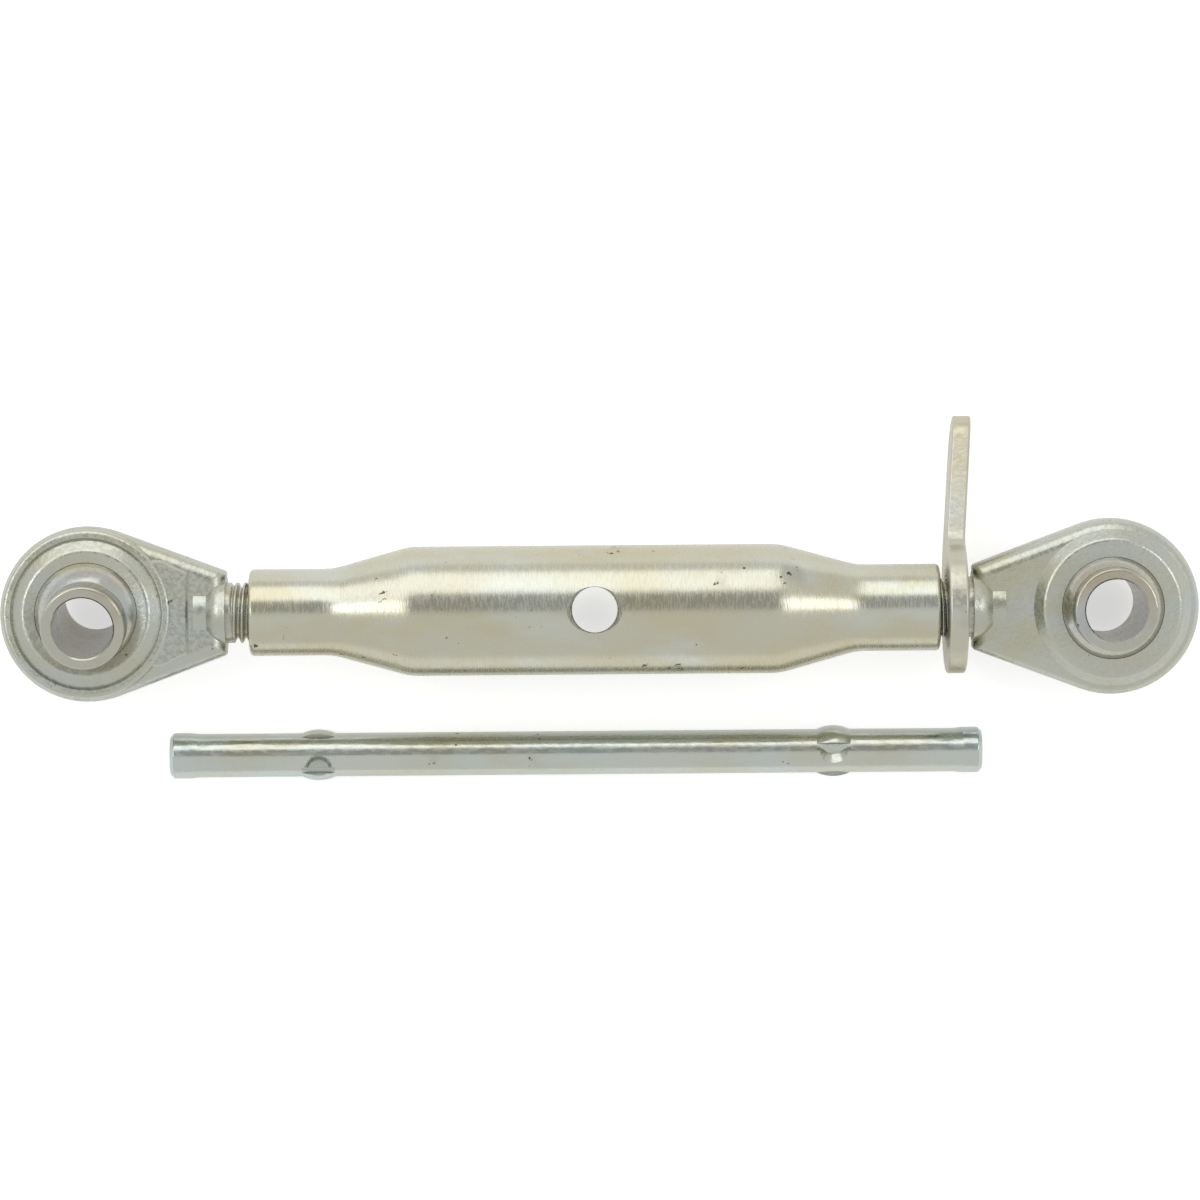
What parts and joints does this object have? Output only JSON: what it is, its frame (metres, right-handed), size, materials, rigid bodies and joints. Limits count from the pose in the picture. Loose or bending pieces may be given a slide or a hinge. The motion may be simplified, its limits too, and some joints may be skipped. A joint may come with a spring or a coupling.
{
  "type": "tractor top link",
  "caption": "Turnbuckle link with a swivel ball in an eye at each end, a lever lock nut, and a loose bar for turning its barrel.",
  "frame": {"origin": "centre of the barrel's cross hole, on the link's axis", "axes": "+X along the link towards the right-hand thread and the lock lever, +Z along the cross hole, up from the surface that the link lies on, +Y the side that the lever's handle lies on"},
  "size_m": [0.3754, 0.1139, 0.0484],
  "materials": {
    "plated_tube": "zinc-plated steel tube, satin, a little mottled",
    "plated_forging": "zinc-plated forging, fine rough skin with brighter rubbed edges",
    "turned_ball": "turned and plated steel, smooth, warm grey",
    "plated_lever": "zinc-plated steel plate, dull satin with small nicks",
    "plated_bar": "zinc-plated drawn bar with a faint blue-green tint"
  },
  "bodies": {
    "barrel": {"barrel": "plated_tube"},
    "left_rod_end": {"left_rod_end": "plated_forging"},
    "left_ball": {"left_ball": "turned_ball"},
    "right_rod_end": {"right_rod_end": "plated_forging"},
    "right_ball": {"right_ball": "turned_ball"},
    "lock_lever": {"lock_lever": "plated_lever"},
    "tommy_bar": {"tommy_bar": "plated_bar"}
  },
  "joints": [
    {"name": "right_screw", "type": "slide", "parent": "barrel", "child": "right_rod_end", "axis": [1, 0, 0], "range_m": [-0.0018, 0.062]},
    {"name": "left_screw", "type": "slide", "parent": "barrel", "child": "left_rod_end", "axis": [-1, 0, 0], "range_m": [-0.0018, 0.062]},
    {"name": "left_ball_swivel", "type": "hinge", "parent": "left_rod_end", "child": "left_ball", "pos_m": [-0.1587, 0, 0], "axis": [1, 0, 0], "range_deg": [-24.5, 0.5]},
    {"name": "right_ball_swivel", "type": "hinge", "parent": "right_rod_end", "child": "right_ball", "pos_m": [0.1617, 0, 0], "axis": [1, 0, 0], "range_deg": [-12.5, 12.5]},
    {"name": "lever_turn", "type": "hinge", "parent": "right_rod_end", "child": "lock_lever", "pos_m": [0.1131, 0, 0], "axis": [1, 0, 0], "range_deg": [-95, 190]},
    {"name": "tommy_bar_lift", "type": "slide", "parent": "barrel", "child": "tommy_bar", "axis": [0, 0, 1], "range_m": [0, 0.1]}
  ],
  "couplings": [
    {"joint": "left_screw", "follows": "right_screw", "ratio": 1}
  ]
}
